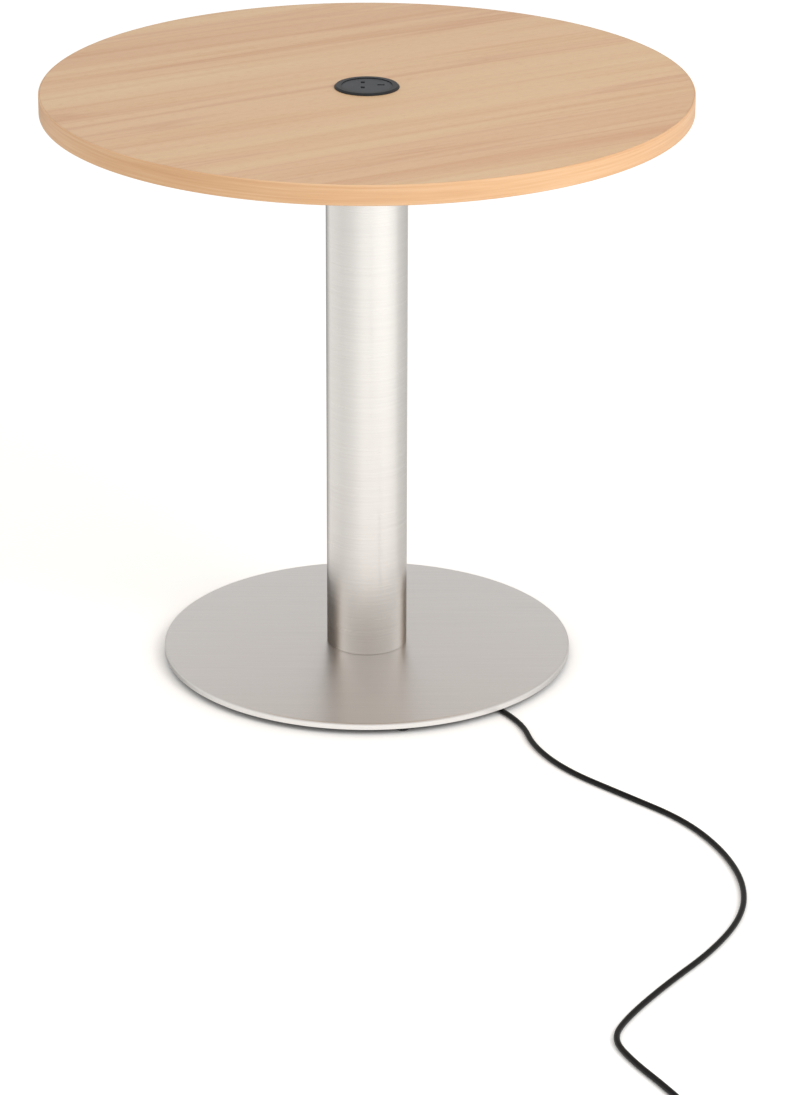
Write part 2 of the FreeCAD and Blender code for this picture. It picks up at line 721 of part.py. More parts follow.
def make_module_screws():
    body = new_body("module_screws")
    shape = screw_shape(POST_CIRCLE, f"({HOUSING_BOTTOM} - cover_plate)", "post_screw_head", "post_screw",
                        "post_screw_head_height", "(cover_plate + post_screw_reach)", "0")
    screw = turn(body, "Revolution", "screw", shape, upright_at(f"{POST_CIRCLE} / 2"))
    outline = cross(f"{POST_CIRCLE} / 2", "post_screw", "post_screw / 4")
    head_face = f"{HOUSING_BOTTOM} - cover_plate - post_screw_head_height"
    recess = drive(body, "recess", outline, head_face, "post_screw_head_height / 2", True)
    around(body, [screw, recess], "screws", "post_count")


def make_retaining_clips():
    body = new_body("retaining_clips")
    heel = "housing_diameter / 2"
    crest = "housing_diameter / 2 + clip_bulge"
    middle = "table_height - top_thickness / 2"
    sketch = new_sketch(body, "bow", "XZ_Plane")
    add_loop(sketch, [
        (heel, f"{middle} - clip_length / 2"), (f"{heel} + clip_sheet", f"{middle} - clip_length / 2"),
        (f"{crest} + clip_sheet", f"{middle} - clip_length / 8"),
        (f"{crest} + clip_sheet", f"{middle} + clip_length / 8"),
        (f"{heel} + clip_sheet", f"{middle} + clip_length / 2"), (heel, f"{middle} + clip_length / 2"),
        (crest, f"{middle} + clip_length / 8"), (crest, f"{middle} - clip_length / 8"),
    ])
    clip = pad(body, sketch, "clip", "clip_width", midplane=True)
    around(body, [clip], "clips", "post_count")


def make_lead_gland():
    body = new_body("lead_gland")
    low = f"{HOUSING_BOTTOM} - cover_plate"
    turn(body, "Revolution", "gland", [
        (LEAD_BORE, f"{low} - gland_length"), ("gland_nose / 2", f"{low} - gland_length"),
        ("gland_neck / 2", low), ("gland_neck / 2", HOUSING_BOTTOM),
        ("gland_flange / 2", HOUSING_BOTTOM), ("gland_flange / 2", f"{HOUSING_BOTTOM} + gland_flange_height"),
        (LEAD_BORE, f"{HOUSING_BOTTOM} + gland_flange_height"),
    ])


# Mains lead
def add_solid(label, shape):
    """Sub-part whose solid is swept along a route."""
    feature = doc.addObject("Part::Feature", label)
    feature.Label = label
    feature.Shape = shape
    nodes.append(feature)
    return feature


def tube_along(edges, radius, name):
    """Round tube along a smooth chain of lines and arcs, compared with section times length."""
    path = Part.Wire(edges)
    start = edges[0].valueAt(edges[0].FirstParameter)
    heading = edges[0].tangentAt(edges[0].FirstParameter)
    section = Part.Wire([Part.Circle(start, heading, radius).toShape()])
    tube = path.makePipeShell([section], True, False)
    expected = math.pi * radius ** 2 * path.Length
    print("%s: length %.1f mm, volume %.4f of section times length"
          % (name, path.Length, tube.Volume / expected))
    return tube


def rounded_route(points, radii=None):
    """Straight runs joined by tangent arcs: each arc's radius is 0.45 of the shorter run over
    the tangent of half the turn, unless one is given for that bend."""
    radii = radii or {}
    edges = []
    last = points[0]
    printed = []
    for index in range(1, len(points) - 1):
        before = points[index] - points[index - 1]
        after = points[index + 1] - points[index]
        half_turn = before.getAngle(after) / 2
        shorter = min(before.Length, after.Length)
        radius = radii.get(index, 0.45 * shorter / math.tan(half_turn))
        printed.append(round(radius))
        step = radius * math.tan(half_turn)
        incoming = FreeCAD.Vector(before).normalize()
        outgoing = FreeCAD.Vector(after).normalize()
        entry = points[index] - incoming * step
        leave = points[index] + outgoing * step
        inward = (outgoing - incoming).normalize()
        middle = points[index] + inward * (radius / math.cos(half_turn) - radius)
        edges.append(Part.LineSegment(last, entry).toShape())
        edges.append(Part.Arc(entry, middle, leave).toShape())
        last = leave
    edges.append(Part.LineSegment(last, points[-1]).toShape())
    print("bend radii", printed)
    return edges


def biarc(start, start_heading, end, end_heading):
    """Two arcs that join two points with the given headings."""
    span = end - start
    headings = start_heading + end_heading
    spread = 2 * (1 - start_heading.dot(end_heading))
    along = span.dot(headings)
    if spread < 1e-9:
        reach = span.dot(span) / (4 * span.dot(end_heading))
    else:
        reach = (math.sqrt(along ** 2 + spread * span.dot(span)) - along) / spread
    joint = (start + end + (start_heading - end_heading) * reach) * 0.5
    return [arc_from(start, start_heading, joint), arc_from(end, end_heading * -1, joint, backwards=True)]


def arc_from(start, heading, end, backwards=False):
    """Arc that leaves a point along a heading and ends at another point."""
    chord = end - start
    direction = FreeCAD.Vector(chord).normalize()
    half_angle = heading.getAngle(chord)
    side = heading - direction * heading.dot(direction)
    middle = start + chord * 0.5
    if side.Length > 1e-9:
        middle = middle + side.normalize() * (chord.Length / 2 * math.tan(half_angle / 2))
    if backwards:
        return Part.Arc(end, middle, start).toShape()
    return Part.Arc(start, middle, end).toShape()


def coil_point(turns):
    """Point of the coil's centre line after a number of turns: it spirals in and out again at a
    steady rate, and climbs one layer in the half turn where it reverses."""
    whole = value("coil_turns")
    past_middle = turns - whole / 2
    ease = 0.1
    depth = math.hypot(whole / 2, ease) - math.hypot(past_middle, ease)
    radius = value("coil_radius") - value("coil_pitch") * depth
    climb = min(max(past_middle * 2 + 0.5, 0), 1)
    level = value(COIL_LOW) + value("coil_layer") * (1 - math.cos(math.pi * climb)) / 2
    angle = math.radians(COIL_START_ANGLE) - 2 * math.pi * turns
    return FreeCAD.Vector(COIL_CENTRE[0] + radius * math.cos(angle),
                          COIL_CENTRE[1] + radius * math.sin(angle), level)


def coil_heading(turns):
    """Direction of the coil's centre line after a number of turns."""
    step = 1e-5
    heading = (coil_point(turns + step) - coil_point(turns - step)).normalize()
    heading.z = 0 if abs(heading.z) < 1e-4 else heading.z
    return heading.normalize()


def coil_ends():
    """Where the coil's straight ends begin and finish, with their headings."""
    first = coil_heading(0)
    last = coil_heading(value("coil_turns"))
    start = coil_point(0) - first * value("lead_diameter")
    end = coil_point(value("coil_turns")) + last * value("lead_tail + sleeve_length")
    return start, first, end, last


def make_lead_inside():
    """Lead from the module down the column, out through the base and along under it."""
    rim = FreeCAD.Vector(FREE_ROUTE[0][0], FREE_ROUTE[0][1], value(LEAD_RADIUS))
    outwards = FreeCAD.Vector(rim.x, rim.y, 0).normalize()
    bend = outwards * -value("lead_offset") + FreeCAD.Vector(0, 0, value(LEAD_RADIUS))
    start = FreeCAD.Vector(0, 0, value(f"{HOUSING_BOTTOM} + 2 * gland_flange_height"))
    below_gland = FreeCAD.Vector(0, 0, value(f"{HOUSING_BOTTOM} - cover_plate - 2 * gland_length"))
    following = FreeCAD.Vector(FREE_ROUTE[1][0], FREE_ROUTE[1][1], value(LEAD_RADIUS))
    under_rim = rim + (rim - following).normalize() * value("lead_exit_run")
    edges = rounded_route([start, below_gland, bend, under_rim, rim], {2: value("lead_bend")})
    add_solid("lead_inside", tube_along(edges, value(LEAD_RADIUS), "lead_inside"))


def make_lead_free():
    """Lead on the floor, from the base's rim to the coil."""
    points = [FreeCAD.Vector(x_place, y_place, value(LEAD_RADIUS)) for x_place, y_place in FREE_ROUTE]
    coil_start, coil_first, _, _ = coil_ends()
    points.append(coil_start - coil_first * value("coil_lead_in"))
    points.append(coil_start)
    print("last two points of the free lead", points[-2], points[-1])
    edges = rounded_route(points)
    add_solid("lead_free", tube_along(edges, value(LEAD_RADIUS), "lead_free"))


def make_lead_coil():
    """Rest of the lead, wound into a flat coil in two layers, with a straight tail into the plug."""
    start, first, end, last = coil_ends()
    quarters = max(4, round(value("coil_turns") * 4))
    stops = [value("coil_turns") * index / quarters for index in range(quarters + 1)]
    edges = [Part.LineSegment(start, coil_point(0)).toShape()]
    for here, there in zip(stops, stops[1:]):
        edges += biarc(coil_point(here), coil_heading(here), coil_point(there), coil_heading(there))
    edges.append(Part.LineSegment(coil_point(stops[-1]), end).toShape())
    add_solid("lead_coil", tube_along(edges, value(LEAD_RADIUS), "lead_coil"))
    print("lead_coil: least gap to itself %.2f mm" % least_coil_gap())


def least_coil_gap():
    """Least clear distance between turns of the coil, measured on points a 72nd of a turn apart."""
    samples = [coil_point(index / 72) for index in range(int(value("coil_turns") * 72) + 1)]
    apart = 36
    least = min((samples[later] - samples[earlier]).Length
                for earlier in range(len(samples)) for later in range(earlier + apart, len(samples)))
    return least - value("lead_diameter")


def make_coil_tie():
    body = new_body("coil_tie")
    middle_turns = "coil_turns / 2"
    inner = f"coil_radius - coil_pitch * ({middle_turns}) - lead_diameter / 2 - tie_slack"
    outer = "coil_radius + lead_diameter / 2 + tie_slack"
    high = f"{COIL_LOW} + coil_layer + lead_diameter / 2 + tie_slack"
    sketch = new_sketch(body, "loop", "XZ_Plane")
    add_loop(sketch, [
        (f"{inner} - tie_sheet", "0"), (f"{outer} + tie_sheet", "0"),
        (f"{outer} + tie_sheet", f"{high} + tie_sheet"), (f"{inner} - tie_sheet", f"{high} + tie_sheet"),
    ])
    add_loop(sketch, [(inner, "tie_sheet"), (outer, "tie_sheet"), (outer, high), (inner, high)])
    strap = pad(body, sketch, "strap", "tie_width", midplane=True)
    reach = value(f"{outer} + tie_sheet")
    near = value(f"{inner} - tie_sheet")
    top_level = value(f"{high} + tie_sheet")
    corners = [(reach, 0), (near, 0), (reach, top_level), (near, top_level)]
    round_edges(body, strap, "rounded_corners", "tie_round", lambda edge: edge.BoundBox.YLength > 1 and any(
        abs(edge.CenterOfMass.x - corner[0]) + abs(edge.CenterOfMass.z - corner[1]) < 1e-4
        for corner in corners))
    body.Placement = FreeCAD.Placement(
        FreeCAD.Vector(COIL_CENTRE[0], COIL_CENTRE[1], 0),
        FreeCAD.Rotation(FreeCAD.Vector(0, 0, 1), COIL_TIE_ANGLE))


def plug_place():
    """Placement of the plug: its cable entry at the end of the lead, heading along it."""
    _, _, end, last = coil_ends()
    heading = math.degrees(math.atan2(last.y, last.x))
    return FreeCAD.Placement(FreeCAD.Vector(end.x, end.y, 0),
                             FreeCAD.Rotation(FreeCAD.Vector(0, 0, 1), heading))


CABLE_LEVEL = f"({COIL_LOW} + coil_layer)"


def make_plug_body():
    body = new_body("plug_body")
    sketch = new_sketch(body, "outline", "XY_Plane")
    shoulder = "plug_pin_line - pin_thickness - slot_length"
    waist = "plug_pin_line + pin_pitch / 2"
    add_loop(sketch, [
        ("0", "-plug_neck"), (shoulder, "-plug_half_width"), (waist, "-plug_half_width"),
        ("plug_length", "-plug_far_end"), ("plug_length", "plug_far_end"),
        (waist, "plug_half_width"), (shoulder, "plug_half_width"), ("0", "plug_neck"),
    ])
    block = pad(body, sketch, "block", "plug_height")
    block = round_edges(body, block, "rounded_sides", "plug_round", is_upright)
    top_level = value("plug_height")
    block = round_edges(body, block, "rounded_face", "plug_round / 2", lambda edge: (
        abs(edge.BoundBox.ZMin - top_level) < 1e-6 and edge.BoundBox.ZLength < 1e-6))
    sketch = new_sketch(body, "fuse_pocket_outline", "XY_Plane", "plug_height")
    add_loop(sketch, rectangle("plug_pin_line + pin_pitch / 2 - fuse_lid_width / 4", "0", "fuse_lid_width",
                               "fuse_lid_length"))
    pocket(body, sketch, "fuse_pocket", "fuse_lid_thickness")
    body.Placement = plug_place()


def make_plug_pins():
    body = new_body("plug_pins")
    pins = [
        ("live_pin", "plug_pin_line", f"-{HALF_PITCH}", "pin_thickness", "plug_pin_width", "plug_pin_reach"),
        ("neutral_pin", "plug_pin_line", HALF_PITCH, "pin_thickness", "plug_pin_width", "plug_pin_reach"),
        ("earth_pin", "plug_pin_line + pin_pitch", "0", "plug_earth_width", "pin_thickness",
         "plug_earth_reach"),
    ]
    for name, x_place, y_place, x_size, y_size, reach in pins:
        sketch = new_sketch(body, name + "_outline", "XY_Plane", "plug_height")
        add_loop(sketch, rectangle(x_place, y_place, x_size, y_size))
        pad(body, sketch, name, reach)
    body.Placement = plug_place()


def make_plug_fuse_lid():
    body = new_body("plug_fuse_lid")
    sketch = new_sketch(body, "outline", "XY_Plane", "plug_height - fuse_lid_thickness")
    add_loop(sketch, rectangle("plug_pin_line + pin_pitch / 2 - fuse_lid_width / 4", "0",
                               "fuse_lid_width - 2 * fit_clearance", "fuse_lid_length - 2 * fit_clearance"))
    pad(body, sketch, "lid", "fuse_lid_thickness")
    body.Placement = plug_place()


def make_plug_sleeve():
    body = new_body("plug_sleeve")
    turn(body, "Revolution", "sleeve", [
        ("-sleeve_length", f"{CABLE_LEVEL} + {LEAD_BORE}"), ("0", f"{CABLE_LEVEL} + {LEAD_BORE}"),
        ("0", f"{CABLE_LEVEL} + sleeve_root / 2"), ("-sleeve_length", f"{CABLE_LEVEL} + sleeve_tip / 2"),
    ], (("-sleeve_length", CABLE_LEVEL), ("0", CABLE_LEVEL)))
    body.Placement = plug_place()


make_table_top()
make_edge_band()
make_top_plate()
make_top_plate_screws()
make_column_tube()
make_column_head_ring()
make_head_ring_bolts()
make_column_foot_ring()
make_base_weight()
make_base_cover()
make_base_bolts()
make_base_grommet()
for glide_number in range(1, int(value("glide_count")) + 1):
    make_glide(glide_number)
make_module_housing()
make_socket_face()
make_socket_shutter()
make_shutter_spring()
make_contact_carrier()
for contact_name in pin_places():
    make_contact(contact_name)
make_module_rear_cover()
make_module_screws()
make_retaining_clips()
make_lead_gland()
make_lead_inside()
make_lead_free()
make_lead_coil()
make_coil_tie()
make_plug_body()
make_plug_pins()
make_plug_fuse_lid()
make_plug_sleeve()
doc.recompute()

# Every object has to be sound before anything is written.
for document_object in doc.Objects:
    state = document_object.State
    if "Invalid" in state or "Error" in state:
        raise RuntimeError("%s failed: %s" % (document_object.Label, state))
for node in nodes:
    if node.Shape.isNull() or not node.Shape.isValid():
        raise RuntimeError("%s has no valid shape" % node.Label)

os.makedirs("parts", exist_ok=True)
for node in nodes:
    node.Shape.exportStep(os.path.join("parts", node.Label + ".step"))
    print("%-20s solids %d, volume %.0f mm3" % (node.Label, len(node.Shape.Solids), node.Shape.Volume))
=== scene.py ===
import json
import math

import bmesh
import bpy
import numpy as np
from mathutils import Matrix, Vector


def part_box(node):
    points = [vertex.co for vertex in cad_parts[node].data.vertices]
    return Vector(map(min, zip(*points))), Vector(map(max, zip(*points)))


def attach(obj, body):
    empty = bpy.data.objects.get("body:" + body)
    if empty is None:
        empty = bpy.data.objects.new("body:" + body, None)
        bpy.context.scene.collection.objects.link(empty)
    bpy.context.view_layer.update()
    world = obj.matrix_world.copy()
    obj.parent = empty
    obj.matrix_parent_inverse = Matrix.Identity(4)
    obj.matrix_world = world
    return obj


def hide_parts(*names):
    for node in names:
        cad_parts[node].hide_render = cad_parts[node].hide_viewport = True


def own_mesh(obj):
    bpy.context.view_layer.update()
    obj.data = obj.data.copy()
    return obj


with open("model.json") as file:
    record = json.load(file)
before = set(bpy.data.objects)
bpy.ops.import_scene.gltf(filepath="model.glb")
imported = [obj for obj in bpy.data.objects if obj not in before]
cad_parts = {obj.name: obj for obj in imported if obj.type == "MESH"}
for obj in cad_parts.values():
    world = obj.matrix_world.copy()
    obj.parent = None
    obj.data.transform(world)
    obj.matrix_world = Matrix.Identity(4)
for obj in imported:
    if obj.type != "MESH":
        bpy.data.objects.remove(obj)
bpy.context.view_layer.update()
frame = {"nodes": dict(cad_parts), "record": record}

MM = 0.001

# Camera, from the ellipses of the top and the base: a long lens, tilted down, moved sideways a little.
CAMERA_DISTANCE = 4835.2 * MM
CAMERA_HEIGHT = 2135.0 * MM
CAMERA_PITCH = 22.391
PHOTO_SIZE = (791, 1095)
FOCAL_PIXELS = 4100.3
COLUMN_PIXEL = 366.9
SENSOR = 36.0

# Route of the lead on the floor in metres: the points of the CAD tube, five of them moved by up to 7 mm so
# that the rounder spline follows the photographed cord.
LEAD_DIAMETER = 6.8 * MM
FLOOR_LEVEL = 3.4 * MM
COIL_LEVEL = 4.1 * MM
LEAD_ROUTE = [
    (0.165, -0.190), (0.192, -0.229), (0.203, -0.298), (0.240, -0.367), (0.306, -0.434),
    (0.374, -0.503), (0.414, -0.586), (0.430, -0.668), (0.421, -0.745), (0.382, -0.826),
    (0.323, -0.907), (0.276, -0.982), (0.260, -1.026), (0.278, -1.072), (0.306, -1.121),
]
# Lead inside the column, from the module's gland through the base's grommet to the rim: a point 70 mm each
# side of the bend holds it in the grommet.
INSIDE_ROUTE = [
    (0.0, 0.0, 0.704), (0.0, 0.0, 0.649), (-0.0035, 0.0040, 0.0734), (-0.0039, 0.0045, 0.0034),
    (0.0433, -0.0471, 0.0034), (0.1489, -0.1624, 0.0034), (0.165, -0.190, 0.0034),
]
COIL_CENTRE = (0.304, -1.239)
COIL_START_ANGLE = 17.4
COIL_RADIUS = 44.4 * MM
COIL_PITCH = 7.6 * MM
COIL_LAYER = 7.5 * MM
COIL_TURNS = 4.3
COIL_LEAD_IN = 50.0 * MM
COIL_TAIL = 38.0 * MM
POINTS_PER_TURN = 24

# Sizes of the turned pieces in millimetres, as in their solids.
MODULE_HOLE = 35.0
TUBE_WALL = 2.0
BASE_RADIUS = 260.0
BASE_SHEET = 1.2
CABLE_HOLE = 22.0
FLANGE_RADIUS = 40.0
FLANGE_EDGE = 0.9
FLANGE_CROWN = 37.8
SKIRT_RADIUS = 33.0
SKIRT_BORE = 31.0
LEDGE_BORE = 28.5
LEDGE_THICKNESS = 3.0

# Fineness of the turned surfaces: sides all round, steps in a rounded corner, and the distance of the
# support points beside it as a share of the rounding. Points closer than the last two, in metres, merge.
ROUND_SEGMENTS = 288
ARC_STEPS = 6
SUPPORT_SHARE = 0.3
MERGE_DISTANCE = 1e-7
SLIVER_DISTANCE = 1e-8

# Leaf spring of the socket's shutter.
SPRING_SHEET = 0.4 * MM
SPRING_STEPS = 49

# The board's grain runs this many degrees round from X.
GRAIN_ANGLE = 30.0

# Stage: the floor's own light, the reach of the painted contact shadow that makes the dark line under the
# rim, and the ring in which the floor's reflected tone changes. The key softbox stands at the right, in
# front of the table.
FLOOR_HALF = 14.0
FLOOR_LIFT = 0.33
MIRRORED_LIFT = 0.35
CONTACT_REACH = 60 * MM
TONE_RING = (290 * MM, 340 * MM)
FILL_STRENGTH = 0.78
KEY_PLACE = (2.6, -2.4, 2.6)
KEY_TARGET = (0, 0, 0.3)
KEY_SIZE = 2.2
KEY_POWER = 64.0


def linear(hex_colour):
    """sRGB hex colour as linear RGBA: c / 12.92 below 0.04045, else ((c + 0.055) / 1.055) ** 2.4."""
    channels = [int(hex_colour[i:i + 2], 16) / 255 for i in (1, 3, 5)]
    curve = [c / 12.92 if c <= 0.04045 else ((c + 0.055) / 1.055) ** 2.4 for c in channels]
    return (*curve, 1.0)


def add_node(tree, kind, settings=None, values=None, links=None):
    """Add one shader node: settings are its properties, values its sockets, links what feeds them."""
    node = tree.nodes.new(kind)
    for key, setting in (settings or {}).items():
        setattr(node, key, setting)
    for key, number in (values or {}).items():
        node.inputs[key].default_value = number
    for key, source in (links or {}).items():
        tree.links.new(source, node.inputs[key])
    return node


def empty_material(name):
    """Material without nodes, and its node tree."""
    material = bpy.data.materials.new(name)
    material.use_nodes = True
    material.node_tree.nodes.clear()
    return material, material.node_tree


def new_material(name):
    """Material with one shader on its output: the material, its node tree and the shader."""
    material, tree = empty_material(name)
    shader = add_node(tree, "ShaderNodeBsdfPrincipled")
    add_node(tree, "ShaderNodeOutputMaterial", links={"Surface": shader.outputs[0]})
    return material, tree, shader


def colour_ramp(tree, factor, stops):
    """Colour ramp over a factor, from a list of places and hex colours."""
    ramp = add_node(tree, "ShaderNodeValToRGB", links={"Fac": factor})
    elements = ramp.color_ramp.elements
    while len(elements) < len(stops):
        elements.new(0.5)
    for element, (place, colour) in zip(elements, stops):
        element.position = place
        element.color = linear(colour)
    return ramp.outputs["Color"]


def drawn_out_noise(tree, size, detail, roughness, turn=0.0, distortion=0.0):
    """Noise drawn out into bands, streaks or hair lines: Object coordinates, turned round the upright axis
    by an angle in degrees and divided by the pattern's real size along X, Y and Z in millimetres."""
    place = add_node(tree, "ShaderNodeTexCoord")
    lengths = [length * MM for length in size]
    drawn_out = add_node(tree, "ShaderNodeMapping", {"vector_type": "TEXTURE"},
                         {"Rotation": (0, 0, math.radians(turn)), "Scale": lengths},
                         {"Vector": place.outputs["Object"]})
    noise = add_node(tree, "ShaderNodeTexNoise", {"noise_dimensions": "3D"},
                     {"Scale": 1.0, "Detail": detail, "Roughness": roughness, "Distortion": distortion},
                     {"Vector": drawn_out.outputs[0]})
    return noise.outputs["Fac"]


# Camera
def make_camera():
    """Camera of the photograph: its principal point lies on the column's axis."""
    data = bpy.data.cameras.new("photo_camera")
    data.sensor_width = SENSOR
    data.lens = SENSOR * FOCAL_PIXELS / PHOTO_SIZE[1]
    data.shift_x = (PHOTO_SIZE[0] / 2 - COLUMN_PIXEL) / PHOTO_SIZE[1]
    camera = bpy.data.objects.new("photo_camera", data)
    camera.location = (0, -CAMERA_DISTANCE, CAMERA_HEIGHT)
    camera.rotation_euler = (math.radians(90 - CAMERA_PITCH), 0, 0)
    bpy.context.collection.objects.link(camera)
    bpy.context.scene.camera = camera


# Lead
def coil_points(turns):
    """Centre line of the coil: radius falls and rises again at a steady rate per turn, and the line climbs
    one layer in the half turn where it reverses."""
    past_middle = turns - COIL_TURNS / 2
    ease = 0.1
    depth = math.hypot(COIL_TURNS / 2, ease) - np.hypot(past_middle, ease)
    radius = COIL_RADIUS - COIL_PITCH * depth
    climb = np.clip(past_middle * 2 + 0.5, 0, 1)
    level = COIL_LEVEL + COIL_LAYER * (1 - np.cos(np.pi * climb)) / 2
    angle = math.radians(COIL_START_ANGLE) - 2 * np.pi * turns
    return np.column_stack([COIL_CENTRE[0] + radius * np.cos(angle),
                            COIL_CENTRE[1] + radius * np.sin(angle), level])


def coil_heading(turns):
    """Unit tangent of the coil's centre line, level with the floor."""
    step = 1e-4
    ends = coil_points(np.array([turns - step, turns + step]))
    heading = ends[1] - ends[0]
    heading[2] = 0
    return heading / np.linalg.norm(heading)


def lead_points():
    """Control points of the whole free lead: the route on the floor, the coil and the straight tail."""
    route = np.array([(x, y, FLOOR_LEVEL) for x, y in LEAD_ROUTE])
    first = coil_heading(0.0)
    last = coil_heading(COIL_TURNS)
    coil = coil_points(np.linspace(0, COIL_TURNS, int(COIL_TURNS * POINTS_PER_TURN) + 1))
    coil_start = coil[0] - first * LEAD_DIAMETER
    entry = np.array([coil_start - first * COIL_LEAD_IN, coil_start])
    return np.vstack([route, entry, coil, coil[-1] + last * COIL_TAIL])


def lead_spline(name, points, material):
    """Stretch of lead: one smooth quadratic spline over its control points, with a round section. The
    steel doesn't mirror it."""
    data = bpy.data.curves.new(name, "CURVE")
    data.dimensions = "3D"
    spline = data.splines.new("NURBS")
    spline.points.add(len(points) - 1)
    spline.points.foreach_set("co", np.column_stack([points, np.ones(len(points))]).ravel())
    spline.order_u = 3
    spline.use_endpoint_u = True
    spline.resolution_u = 8
    data.bevel_depth = LEAD_DIAMETER / 2
    data.bevel_resolution = 6
    data.use_fill_caps = True
    lead = bpy.data.objects.new(name, data)
    bpy.context.collection.objects.link(lead)
    lead.data.materials.append(material)
    lead.visible_glossy = False
    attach(lead, "frame")
    return lead


def make_lead(material):
    """The stretch inside the column, which is held all along, and the free lead with its coil and plug."""
    inside = lead_spline("lead_in_column", np.array(INSIDE_ROUTE), material)
    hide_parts("lead_inside")
    points = lead_points()
    lead = lead_spline("mains_lead", points, material)
    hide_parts("lead_free", "lead_coil")


# Turned pieces
def rounded_profile(corners):
    """Closed profile of a turned piece from corners (radius, level, rounding): each rounded corner is an
    arc tangent to both sides, with a support point just outside each end of the arc."""
    corners = np.array(corners, dtype=float)
    points = []
    count = len(corners)
    nearly_straight = math.pi / 2 - 1e-4
    for index in range(count):
        here, before, after = (corners[i % count, :2] for i in (index, index - 1, index + 1))
        rounding = corners[index, 2]
        to_before = (before - here) / np.linalg.norm(before - here)
        to_after = (after - here) / np.linalg.norm(after - here)
        half = math.acos(np.clip(to_before @ to_after, -1, 1)) / 2
        if rounding <= 0 or half > nearly_straight:
            points.append(here)
            continue
        reach = rounding / math.tan(half)
        inwards = (to_before + to_after) / np.linalg.norm(to_before + to_after)
        centre = here + inwards * rounding / math.sin(half)
        start = here + to_before * reach
        end = here + to_after * reach
        first = math.atan2(*(start - centre)[::-1])
        sweep = math.atan2(*(end - centre)[::-1]) - first
        sweep = (sweep + math.pi) % (2 * math.pi) - math.pi
        angles = first + sweep * np.linspace(0, 1, ARC_STEPS + 1)
        arc = centre + rounding * np.column_stack([np.cos(angles), np.sin(angles)])
        support = rounding * SUPPORT_SHARE
        points += [start + to_before * support, *arc, end + to_after * support]
    return np.array(points)


def turned_piece(name, corners):
    """Solid of revolution: x = r(s) cos(a), y = r(s) sin(a), z = z(s) over a closed profile s."""
    profile = rounded_profile(corners) * MM
    rings = len(profile)
    angles = np.linspace(0, 2 * np.pi, ROUND_SEGMENTS, endpoint=False)
    x = np.outer(profile[:, 0], np.cos(angles))
    y = np.outer(profile[:, 0], np.sin(angles))
    z = np.repeat(profile[:, 1][:, None], ROUND_SEGMENTS, axis=1)
    index = np.arange(rings * ROUND_SEGMENTS).reshape(rings, ROUND_SEGMENTS)
    a, b = index, np.roll(index, -1, axis=1)
    c, d = np.roll(b, -1, axis=0), np.roll(a, -1, axis=0)
    quads = np.stack([a, b, c, d], axis=-1).reshape(-1, 4)
    return solid_from_grid(name, np.stack([x, y, z], axis=-1).reshape(-1, 3), quads)


def solid_from_grid(name, vertices, quads):
    """Smooth mesh object from grid vertices and quads: coincident points merged, faces turned outwards."""
    mesh = bpy.data.meshes.new(name)
    mesh.from_pydata(vertices.tolist(), [], quads.tolist())
    work = bmesh.new()
    work.from_mesh(mesh)
    bmesh.ops.remove_doubles(work, verts=work.verts, dist=MERGE_DISTANCE)
    bmesh.ops.dissolve_degenerate(work, edges=work.edges, dist=SLIVER_DISTANCE)
    bmesh.ops.recalc_face_normals(work, faces=work.faces)
    work.to_mesh(mesh)
    work.free()
    mesh.polygons.foreach_set("use_smooth", np.ones(len(mesh.polygons), dtype=bool))
    piece = bpy.data.objects.new(name, mesh)
    bpy.context.collection.objects.link(piece)
    return piece


def dress(piece, material, node):
    """Give a new piece its material, let it ride on the frame and hide the CAD node it stands for."""
    piece.data.materials.append(material)
    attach(piece, "frame")
    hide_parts(node)


# Materials
def tint(tree, colour, shade, strength):
    """Multiply a colour by a shade, as far as the strength says."""
    mix = add_node(tree, "ShaderNodeMix", {"data_type": "RGBA", "blend_type": "MULTIPLY"},
                   {"Factor": strength}, {6: colour, 7: shade})
    return mix.outputs[2]


def beech_board_material():
    """Beech-effect melamine: a printed paper under resin, satin. Broad pale and pinkish bands run along the
    grain, a thin reddish line lies along some of their borders, and fine short flecks cover all of it."""
    material, tree, shader = new_material("beech_melamine")
    bands = drawn_out_noise(tree, (1500, 60, 60), detail=2.0, roughness=0.45, turn=GRAIN_ANGLE,
                            distortion=0.15)
    streaks = drawn_out_noise(tree, (620, 19, 19), detail=2.0, roughness=0.55, turn=GRAIN_ANGLE)
    flecks = drawn_out_noise(tree, (14, 1.3, 1.3), detail=2.0, roughness=0.5, turn=GRAIN_ANGLE)
    base = colour_ramp(tree, bands, [
        (0.30, "#DCB28B"), (0.425, "#DFB890"), (0.445, "#D9AD87"), (0.465, "#E0BA92"),
        (0.55, "#E1BD94"), (0.70, "#E3C299")])
    streak = colour_ramp(tree, streaks, [(0.30, "#F4E6DC"), (0.47, "#FCF8F5"), (0.62, "#FFFFFF")])
    fleck = colour_ramp(tree, flecks, [(0.34, "#F0E2D6"), (0.46, "#FFFFFF")])
    streaked = tint(tree, base, streak, strength=0.8)
    colour = tint(tree, streaked, fleck, strength=0.5)
    tree.links.new(colour, shader.inputs["Base Color"])
    bump = add_node(tree, "ShaderNodeBump", None, {"Strength": 0.04, "Distance": 0.2 * MM},
                    {"Height": flecks})
    tree.links.new(bump.outputs[0], shader.inputs["Normal"])
    shader.inputs["Roughness"].default_value = 0.42
    shader.inputs["IOR"].default_value = 1.5
    return material


